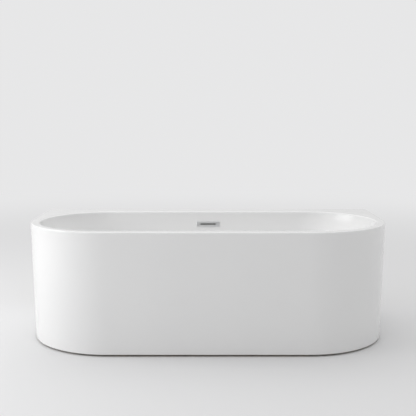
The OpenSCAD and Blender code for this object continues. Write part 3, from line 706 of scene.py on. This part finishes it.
def add_bead(bm, start, end):
    """Weld bead between two points: a thin rod with the ripples that the torch leaves."""
    start, end = Vector(start), Vector(end)
    run = end - start
    turn = run.to_track_quat("Z", "Y").to_matrix().to_4x4()
    before = set(bm.verts)
    ring = bmesh.ops.create_circle(bm, cap_ends=True, segments=8, radius=bead_r)["verts"]
    edges = list({edge for vert in ring for edge in vert.link_edges})
    steps = max(4, int(run.length / 0.0014))
    edges = push(bm, edges, (0, 0, run.length / steps), steps)
    bmesh.ops.holes_fill(bm, edges=edges, sides=8)
    rod = [vert for vert in bm.verts if vert not in before]
    for vert in rod:
        swell = 1.0 + 0.16 * math.sin(vert.co.z / 0.0028 * math.pi)
        vert.co.x *= swell
        vert.co.y *= swell
    bmesh.ops.transform(bm, verts=rod, matrix=Matrix.Translation(start) @ turn)


def add_lathe(bm, profile, place, toward_wall=False, steps=64):
    """Turned part: spins (radius, height) points once round an upright axis, or one towards the wall."""
    before = set(bm.verts)
    verts = [bm.verts.new((r, 0.0, h)) for r, h in profile]
    edges = [bm.edges.new(pair) for pair in zip(verts, verts[1:])]
    if profile[0][0] > 0 and profile[-1][0] > 0:
        edges.append(bm.edges.new((verts[-1], verts[0])))
    bmesh.ops.spin(bm, geom=verts + edges, cent=(0, 0, 0), axis=(0, 0, 1), dvec=(0, 0, 0), angle=2 * math.pi,
                   steps=steps, use_merge=True, use_normal_flip=False, use_duplicate=False)
    made = [vert for vert in bm.verts if vert not in before]
    bmesh.ops.remove_doubles(bm, verts=made, dist=1e-6)
    made = [vert for vert in bm.verts if vert not in before]
    turn = Matrix.Rotation(-math.pi / 2, 4, "X") if toward_wall else Matrix.Identity(4)
    bmesh.ops.transform(bm, verts=made, matrix=Matrix.Translation(place) @ turn)
    return made


def add_hex_nut(bm, place, across, bore, height):
    """Hexagon nut with chamfered corners and a plain bore."""
    corner = across / 2 / math.cos(math.pi / 6)
    rim = bmesh.ops.create_circle(bm, cap_ends=False, segments=6, radius=corner)["verts"]
    hole = bmesh.ops.create_circle(bm, cap_ends=False, segments=48, radius=bore)["verts"]
    edges = list({edge for vert in rim + hole for edge in vert.link_edges})
    made = bmesh.ops.triangle_fill(bm, use_beauty=True, use_dissolve=False, edges=edges)["geom"]
    faces = [item for item in made if isinstance(item, bmesh.types.BMFace)]
    raised = bmesh.ops.extrude_face_region(bm, geom=faces, use_keep_orig=True)["geom"]
    top = [v for v in raised if isinstance(v, bmesh.types.BMVert)]
    bmesh.ops.translate(bm, verts=top, vec=(0, 0, height))
    nut = rim + hole + top
    chamfer = [e for e in {edge for v in nut for edge in v.link_edges}
               if abs(e.verts[0].co.z - e.verts[1].co.z) < 1e-5
               and all(v.co.xy.length > corner * 0.99 for v in e.verts)]
    bevelled = bmesh.ops.bevel(bm, geom=chamfer, offset=0.0010, offset_type="OFFSET", affect="EDGES",
                               segments=1, profile=0.5, material=-1)
    nut = {v for v in nut if v.is_valid} | set(bevelled["verts"])
    bmesh.ops.translate(bm, verts=list(nut), vec=place)


coat = powder_coat()
feet = {k: tuple((low + high) / 2 for low, high in zip(*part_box(f"foot_pad_{k}"))) for k in range(1, 6)}
tubes = {"rail_front": 0, "rail_rear_left": 0, "rail_rear_right": 0, "cross_rail_left": 1,
         "cross_rail_right": 1, "inner_rail_left": 1, "inner_rail_right": 1}
for node, axis in tubes.items():
    low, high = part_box(node)
    tube_bm = bmesh.new()
    add_tube(tube_bm, (low[0], low[1], frame_low), high, axis)
    for place in feet.values():
        if low[0] < place[0] < high[0] and low[1] < place[1] < high[1]:
            add_hex_nut(tube_bm, (place[0], place[1], frame_low - weld_nut_h), nut_across, nut_bore,
                        weld_nut_h)
    if node.startswith("inner_rail"):
        for row in (low[1], high[1]):
            add_bead(tube_bm, (low[0], row, frame_low), (high[0], row, frame_low))
            for edge in (low[0], high[0]):
                add_bead(tube_bm, (edge, row, frame_low), (edge, row, frame_high - bead_r))
    if axis == 0:
        for edge in [x for x in (low[0], high[0]) if abs(x) > 0.3]:
            add_bead(tube_bm, (edge, low[1], frame_low), (edge, high[1], frame_low))
            for row in (low[1], high[1]):
                add_bead(tube_bm, (edge, row, frame_low), (edge, row, frame_high - bead_r))
    add_piece(tube_bm, node + "_tube", coat, "bath", "frame_paint", node)

# ---------------------------------------------------------------------------------------------
# Levelling feet. A zinc-plated M12 stud with a pressed-on hexagon turns in a nylon pad; a lock nut holds
# it against the nut that is welded under the frame.
thread_pitch = 0.00175
thread_root = 0.0051
thread_crest = 0.0060
stud_hex_low = 0.021
stud_hex_h = 0.007
lock_nut_h = 0.008


def bright_zinc(name="bright_zinc"):
    """Zinc plate: pale blue-grey metal, satin, a little cloudy."""
    material, tree, shader, coordinates = start_material(name)
    shader.inputs["Metallic"].default_value = 1.0
    blend_colours(tree, add_noise(tree, coordinates, 60.0, 3.0),
                  [(0.3, (0.50, 0.52, 0.54)), (0.7, (0.66, 0.67, 0.67))], shader.inputs["Base Color"])
    spread(tree, add_noise(tree, coordinates, 140.0, 3.0), 0.24, 0.42, shader.inputs["Roughness"])
    add_bump(tree, shader, add_noise(tree, coordinates, 300.0, 2.0), 0.00005, 0.5)
    return material


def moulded_plastic(name, dark, light, rough_low, rough_high, grain):
    """Injection-moulded plastic: an even tone with the fine spark-eroded grain of its mould."""
    material, tree, shader, coordinates = start_material(name)
    shader.inputs["IOR"].default_value = 1.5
    blend_colours(tree, add_noise(tree, coordinates, 20.0, 2.0), [(0.3, dark), (0.7, light)],
                  shader.inputs["Base Color"])
    spread(tree, add_noise(tree, coordinates, 40.0, 3.0), rough_low, rough_high, shader.inputs["Roughness"])
    add_bump(tree, shader, add_noise(tree, coordinates, grain, 2.0), 0.00006, 0.6)
    return material


def add_thread(bm, root, crest, pitch, low, high):
    """Screw thread: one tooth of the profile spun up the stud, so that each turn meets the next."""
    turns = int((high - low) / pitch) - 1
    tooth = [bm.verts.new((root, 0, low)), bm.verts.new((crest, 0, low + pitch * 0.44)),
             bm.verts.new((crest, 0, low + pitch * 0.56)), bm.verts.new((root, 0, low + pitch))]
    edges = [bm.edges.new(pair) for pair in zip(tooth, tooth[1:])]
    steps = 20
    bmesh.ops.spin(bm, geom=tooth + edges, cent=(0, 0, 0), axis=(0, 0, 1), dvec=(0, 0, pitch / steps),
                   angle=2 * math.pi * turns, steps=steps * turns, use_merge=False, use_normal_flip=False,
                   use_duplicate=False)
    bmesh.ops.remove_doubles(bm, verts=bm.verts, dist=1e-6)
    borders = [edge for edge in bm.edges if len(edge.link_faces) == 1]
    ends = bmesh.ops.holes_fill(bm, edges=borders, sides=0)["faces"]
    bmesh.ops.triangulate(bm, faces=ends)


zinc = bright_zinc()
nylon = moulded_plastic("black_nylon", (0.018, 0.018, 0.018), (0.030, 0.030, 0.030), 0.45, 0.58, 500.0)
stud_low, stud_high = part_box("foot_stud_1")[0][2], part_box("foot_stud_1")[1][2]
stud = bmesh.new()
add_thread(stud, thread_root, thread_crest, thread_pitch, stud_hex_low + stud_hex_h - 0.001,
           stud_high - 0.0015)
stud_base_r, stud_base_high = 0.009, stud_low + 0.005
add_lathe(stud, [(0.0, stud_low), (stud_base_r, stud_low), (stud_base_r, stud_base_high),
                 (thread_root, stud_base_high), (thread_root, stud_high - 0.001),
                 (thread_root - 0.001, stud_high), (0.0, stud_high)],
          (0.0, 0.0, 0.0), False, 32)
add_hex_nut(stud, (0.0, 0.0, stud_hex_low), nut_across, thread_root * 0.9, stud_hex_h)
for k, place in feet.items():
    pad_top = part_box(f"foot_pad_{k}")[1][2]
    pad_bm = bmesh.new()
    add_lathe(pad_bm, [(0.0, 0.0), (0.0238, 0.0), (0.0248, 0.0006), (0.025, 0.0016), (0.025, 0.0038),
                       (0.0244, 0.0046), (0.0150, 0.0088), (0.0141, 0.0100), (0.014, 0.0165),
                       (0.0134, 0.0176), (0.0126, 0.018), (0.0066, 0.018), (0.0061, 0.0174),
                       (0.0061, 0.0112), (0.0091, 0.0112), (0.0091, 0.006), (0.0, 0.006)],
              (place[0], place[1], 0.0))
    for rib in range(8):
        turn = Matrix.Rotation(math.pi / 4 * rib, 4, "Z")
        block = add_block(pad_bm, (0.0135, -0.0008, 0.0030), (0.0232, 0.0008, 0.0056), 0.0004, 1)
        for vert in block:
            if vert.co.x < 0.016:
                vert.co.z += 0.0048 if vert.co.z > 0.004 else 0.0
        bmesh.ops.transform(pad_bm, verts=block, matrix=Matrix.Translation((place[0], place[1], 0.0)) @ turn)
    add_piece(pad_bm, f"foot_pad_{k}_moulded", nylon, f"foot_{k}", "black_plastic", f"foot_pad_{k}")
    stud_bm = bmesh.new()
    add_copy(stud_bm, stud)
    bmesh.ops.translate(stud_bm, verts=stud_bm.verts, vec=(place[0], place[1], 0.0))
    add_piece(stud_bm, f"foot_stud_{k}_threaded", zinc, f"foot_{k}", "zinc", f"foot_stud_{k}")
    nut_bm = bmesh.new()
    add_hex_nut(nut_bm, (place[0], place[1], frame_low - weld_nut_h - lock_nut_h), nut_across, nut_bore,
                lock_nut_h)
    add_piece(nut_bm, f"lock_nut_{k}_hexagon", zinc, "bath", "zinc", f"lock_nut_{k}")

# ---------------------------------------------------------------------------------------------
# Brackets. Four flat zinc-plated bars run from the frame to the lower battens, each turned down at
# its end over a bend radius and held by one wood screw.
stay_w = 0.030
stay_t = 0.004
stay_bend = 0.006


def add_stay(bm, start, reach, drop, matrix):
    """Flat bar along +X from start to reach, bent down by drop, then turned and placed."""
    section = [(start, -stay_w / 2, -stay_t), (start, stay_w / 2, -stay_t), (start, stay_w / 2, 0.0),
               (start, -stay_w / 2, 0.0)]
    verts = [bm.verts.new(point) for point in section]
    edges = [bm.edges.new(pair) for pair in zip(verts, verts[1:] + verts[:1])]
    bm.faces.new(verts)
    run = reach - start - stay_bend
    edges = push(bm, edges, (run, 0, 0), 1)
    spun = bmesh.ops.spin(bm, geom=edges, cent=(reach - stay_bend, 0, -stay_bend), axis=(0, 1, 0),
                          dvec=(0, 0, 0), angle=math.pi / 2, steps=6, use_merge=False,
                          use_normal_flip=False, use_duplicate=False)
    edges = [e for e in spun["geom_last"] if isinstance(e, bmesh.types.BMEdge)]
    edges = push(bm, edges, (0, 0, -(drop - stay_bend)), 1)
    bmesh.ops.holes_fill(bm, edges=edges, sides=4)
    bmesh.ops.transform(bm, verts=bm.verts, matrix=matrix)


for node in ("stay_front_left", "stay_front_right", "stay_end_left", "stay_end_right"):
    low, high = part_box(node)
    middle = ((low[0] + high[0]) / 2, (low[1] + high[1]) / 2, high[2])
    stay_bm = bmesh.new()
    if node.startswith("stay_front"):
        half, turn = (high[1] - low[1]) / 2, -math.pi / 2
    else:
        half, turn = (high[0] - low[0]) / 2, (0.0 if middle[0] > 0 else math.pi)
    add_stay(stay_bm, -half, half, high[2] - low[2],
             Matrix.Translation(middle) @ Matrix.Rotation(turn, 4, "Z"))
    add_piece(stay_bm, node + "_bent", zinc, "bath", "zinc", node)

# ---------------------------------------------------------------------------------------------
# Drain and plug. A chromed brass flange clamps the basin floor onto a moulded body; crossed bars in it
# guide the stem of a domed push plug, which seals on a rubber ring.
flange_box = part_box("drain_flange")
plug_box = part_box("plug_cap")


def polished_chrome():
    """Pale chrome with a soft sheen and the faintest trace of wiping."""
    material, tree, shader, coordinates = start_material("polished_chrome")
    shader.inputs["Metallic"].default_value = 1.0
    blend_colours(tree, add_noise(tree, coordinates, 12.0, 2.0),
                  [(0.3, (0.88, 0.89, 0.90)), (0.7, (0.92, 0.93, 0.93))], shader.inputs["Base Color"])
    spread(tree, add_noise(tree, coordinates, 50.0, 3.0), 0.28, 0.36, shader.inputs["Roughness"])
    return material


chrome = polished_chrome()
flange_r = (flange_box[1][0] - flange_box[0][0]) / 2
flange_top = flange_box[1][2]
tail_z = flange_box[0][2]
seat_r, tail_r, flange_t = 0.022, 0.025, 0.0025
flange_bm = bmesh.new()
add_lathe(flange_bm, [(seat_r, tail_z), (tail_r, tail_z), (tail_r, flange_top - flange_t),
                      (flange_r - 0.0006, flange_top - flange_t),
                      (flange_r, flange_top - flange_t + 0.0005), (flange_r - 0.0004, flange_top - 0.0012),
                      (flange_r - 0.0016, flange_top - 0.0003), (flange_r - 0.0032, flange_top),
                      (tail_r + 0.0016, flange_top), (tail_r + 0.0006, flange_top - 0.0004),
                      (seat_r + 0.0004, flange_top - 0.0030), (seat_r, flange_top - 0.0038)],
          (0, drain_y, 0), steps=96)
bar_w, bar_h = 0.004, 0.006
for half_x, half_y in ((seat_r + 0.001, bar_w / 2), (bar_w / 2, seat_r + 0.001)):
    add_block(flange_bm, (-half_x, drain_y - half_y, tail_z), (half_x, drain_y + half_y, tail_z + bar_h),
              0.0005, 1)
add_piece(flange_bm, "drain_flange_turned", chrome, "bath", "chrome", "drain_flange")

plug_r = (plug_box[1][0] - plug_box[0][0]) / 2
plug_low, plug_high = plug_box[0][2], plug_box[1][2]
plug_bm = bmesh.new()
dome_steps = 12
dome = [(plug_r - 0.002 - (plug_r - 0.002) * (i / dome_steps), plug_high - 0.0012 * (1 - i / dome_steps) ** 2)
        for i in range(dome_steps + 1)]
add_lathe(plug_bm, [(0.0, plug_low), (plug_r - 0.0008, plug_low), (plug_r, plug_low + 0.0008),
                    (plug_r, plug_low + 0.0030), (plug_r - 0.0005, plug_low + 0.0040)] + dome,
          (0, drain_y, 0), steps=96)
add_piece(plug_bm, "plug_cap_domed", chrome, "plug", "chrome", "plug_cap")

# ---------------------------------------------------------------------------------------------
# Overflow plate. A chromed rectangular plate with one long slot stands on the back wall below the rim,
# screwed from behind, so that its face is clean.
plate_half_l, plate_half_h, plate_t, plate_corner = 0.060, 0.015, 0.003, 0.003
slot_half_l, slot_half_h, slot_corner = 0.040, 0.0035, 0.0012
plate_edge = 0.0007


def rounded_loop(bm, half_x, half_z, r, steps):
    """Upright rounded rectangle in the plane y = 0."""
    flat_x, flat_z = half_x - r, half_z - r
    quarter = math.pi / 2
    arcs = [((flat_x + r, 0, flat_z), (flat_x, 0, flat_z), quarter, steps),
            ((-flat_x, 0, flat_z + r), (-flat_x, 0, flat_z), quarter, steps),
            ((-flat_x - r, 0, -flat_z), (-flat_x, 0, -flat_z), quarter, steps),
            ((flat_x, 0, -flat_z - r), (flat_x, 0, -flat_z), quarter, steps)]
    return arc_loop(bm, arcs, (0, -1, 0), 0)


plate_bm = bmesh.new()
rounded_loop(plate_bm, plate_half_l, plate_half_h, plate_corner, 8)
rounded_loop(plate_bm, slot_half_l, slot_half_h, slot_corner, 6)
bmesh.ops.remove_doubles(plate_bm, verts=plate_bm.verts, dist=1e-6)
made = bmesh.ops.triangle_fill(plate_bm, use_beauty=True, use_dissolve=False, edges=plate_bm.edges[:])["geom"]
plate_faces = [item for item in made if isinstance(item, bmesh.types.BMFace)]
raised = bmesh.ops.extrude_face_region(plate_bm, geom=plate_faces, use_keep_orig=True)["geom"]
front_verts = [v for v in raised if isinstance(v, bmesh.types.BMVert)]
bmesh.ops.translate(plate_bm, verts=front_verts, vec=(0, -plate_t, 0))
bmesh.ops.recalc_face_normals(plate_bm, faces=plate_bm.faces)
front_edges = [e for e in plate_bm.edges if all(v.co.y < -plate_t * 0.9 for v in e.verts)
               and len(e.link_faces) == 2 and e.calc_face_angle(0.0) > 1.0]
bmesh.ops.bevel(plate_bm, geom=front_edges, offset=plate_edge, offset_type="OFFSET", affect="EDGES",
                segments=3, profile=0.5, material=-1)
square_to_wall = Matrix.Translation((0, slot_y, slot_z)) @ Matrix.Rotation(-side_tilt, 4, "X")
bmesh.ops.transform(plate_bm, verts=plate_bm.verts, matrix=square_to_wall)
add_piece(plate_bm, "overflow_plate_slotted", chrome, "bath", "chrome", "overflow_plate")

# ---------------------------------------------------------------------------------------------
# Overflow hose. Corrugated polypropylene hose hangs from the box behind the overflow slot, bends once
# and runs forward to the port of the drain body.
hose_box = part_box("overflow_hose")
hose_r = (hose_box[1][0] - hose_box[0][0]) / 2
hose_bend_r = 0.100
hose_wall = 0.0025
hose_rib = 0.0042
hose_depth = 0.0017
port_z = hose_box[0][2] + hose_r
hose_y = hose_box[1][1] - hose_r
hose_top = hose_box[1][2]
hose_front = hose_box[0][1]


def hose_place(vert, straight_down, bend_length):
    """Moves a point of the straight hose, whose length runs down from z = 0, onto its route."""
    along = -vert.co.z
    side = vert.co.y
    if along <= straight_down:
        return Vector((vert.co.x, hose_y + side, hose_top - along))
    if along <= straight_down + bend_length:
        turn = (along - straight_down) / hose_bend_r
        centre_y, centre_z = hose_y - hose_bend_r, hose_top - straight_down
        reach = hose_bend_r + side
        return Vector((vert.co.x, centre_y + reach * math.cos(turn), centre_z - reach * math.sin(turn)))
    forward = along - straight_down - bend_length
    return Vector((vert.co.x, hose_y - hose_bend_r - forward, port_z - side))


hose_plastic = moulded_plastic("grey_polypropylene", (0.40, 0.41, 0.41), (0.47, 0.48, 0.48), 0.36, 0.48,
                               260.0)
straight_down = hose_top - port_z - hose_bend_r
bend_length = hose_bend_r * math.pi / 2
hose_length = straight_down + bend_length + (hose_y - hose_bend_r - hose_front)
ribs = int(hose_length / hose_rib)
pitch = hose_length / ribs
outer = []
for i in range(ribs):
    top = -i * pitch
    outer += [(hose_r - hose_depth, top), (hose_r - 0.0003, top - pitch * 0.22), (hose_r, top - pitch * 0.42),
              (hose_r - 0.0003, top - pitch * 0.62)]
profile = outer + [(hose_r - hose_depth, -hose_length), (hose_r - hose_wall - hose_depth, -hose_length)]
profile += [(hose_r - hose_wall - hose_depth, -hose_length + pitch * i) for i in range(1, ribs + 1)]
hose_bm = bmesh.new()
add_lathe(hose_bm, profile, (0, 0, 0), steps=28)
for vert in hose_bm.verts:
    vert.co = hose_place(vert, straight_down, bend_length)
add_piece(hose_bm, "overflow_hose_ribbed", hose_plastic, "bath", "hose", "overflow_hose")

# ---------------------------------------------------------------------------------------------
# Trap and outlet. White moulded polypropylene: a cup trap under the drain body, hand-tightened nuts with
# finger ribs, and an outlet piece that widens to the drain pipe's size.
white_pp = moulded_plastic("white_polypropylene", (0.64, 0.64, 0.62), (0.70, 0.70, 0.68), 0.32, 0.44, 320.0)
rubber = moulded_plastic("black_rubber", (0.016, 0.016, 0.016), (0.026, 0.026, 0.026), 0.62, 0.78, 380.0)


def refinish(node, material):
    """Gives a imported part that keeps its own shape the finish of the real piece."""
    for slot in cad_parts[node].material_slots:
        slot.material = material


outlet_low, outlet_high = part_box("outlet_pipe")
outlet_r = (outlet_high[0] - outlet_low[0]) / 2
waste_z = (outlet_low[2] + outlet_high[2]) / 2
inner_r, pipe_wall, outlet_step = 0.020, 0.0025, 0.006
nut_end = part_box("outlet_nut")[1][1]
step_y = nut_end + 0.004 - drain_y
end_y = outlet_high[1] - drain_y
start_y = outlet_low[1] - drain_y
outlet_bm = bmesh.new()
add_lathe(outlet_bm, [(inner_r - pipe_wall, start_y), (inner_r, start_y), (inner_r, step_y),
                      (outlet_r - 0.0008, step_y + outlet_step - 0.0008), (outlet_r, step_y + outlet_step),
                      (outlet_r, end_y - 0.0020), (outlet_r - 0.0012, end_y), (outlet_r - pipe_wall, end_y),
                      (outlet_r - pipe_wall, step_y + outlet_step), (inner_r - pipe_wall, step_y)],
          (0, drain_y, waste_z), True, 96)
add_piece(outlet_bm, "outlet_pipe_moulded", white_pp, "bath", "white_plastic", "outlet_pipe")

for node in ("drain_body", "trap_nut", "trap_body", "trap_base", "outlet_nut", "overflow_body",
             "hose_nut_top", "hose_nut_bottom"):
    refinish(node, white_pp)
for node in ("drain_seal", "drain_washer", "plug_seal", "overflow_gasket"):
    refinish(node, rubber)
for node in ("rail_end_caps", "plug_cartridge"):
    refinish(node, nylon)
for node in ("stay_screws", "overflow_screws", "plug_stem"):
    refinish(node, zinc)
